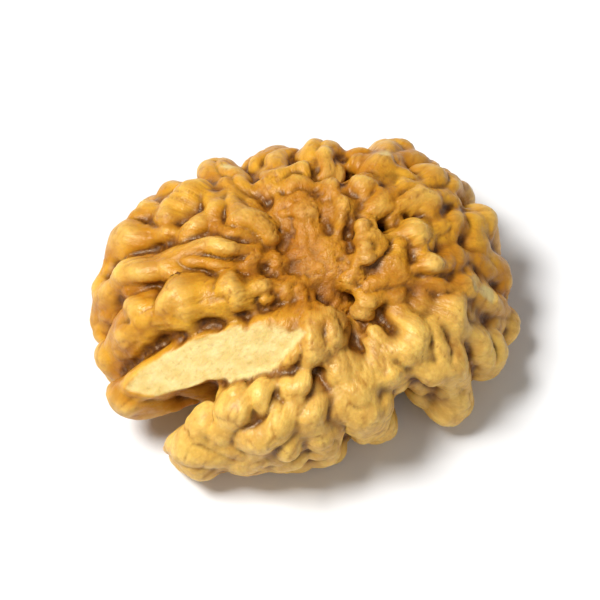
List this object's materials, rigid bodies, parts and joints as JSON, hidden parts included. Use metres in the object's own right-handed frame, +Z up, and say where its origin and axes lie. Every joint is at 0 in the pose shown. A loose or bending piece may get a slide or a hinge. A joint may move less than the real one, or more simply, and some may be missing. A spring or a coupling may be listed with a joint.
{
  "type": "walnut kernel half",
  "caption": "Half kernel of a cracked walnut, folded ridges over a rounded outer side, a slot between its lobes and a flat broken face, lying on its inner side.",
  "frame": {"origin": "under the middle of the kernel's outline, on the plane it rests on", "axes": "+X along the kernel towards its pointed tip, the slot is at -X, the low front lobe is at -Y, +Z up through the rounded outer side"},
  "size_m": [0.034, 0.0274, 0.0134],
  "materials": {
    "kernel": "satin golden tan seed skin, darker in the folds, cream flesh where broken"
  },
  "bodies": {
    "root": {"kernel_half": "kernel"}
  },
  "joints": []
}
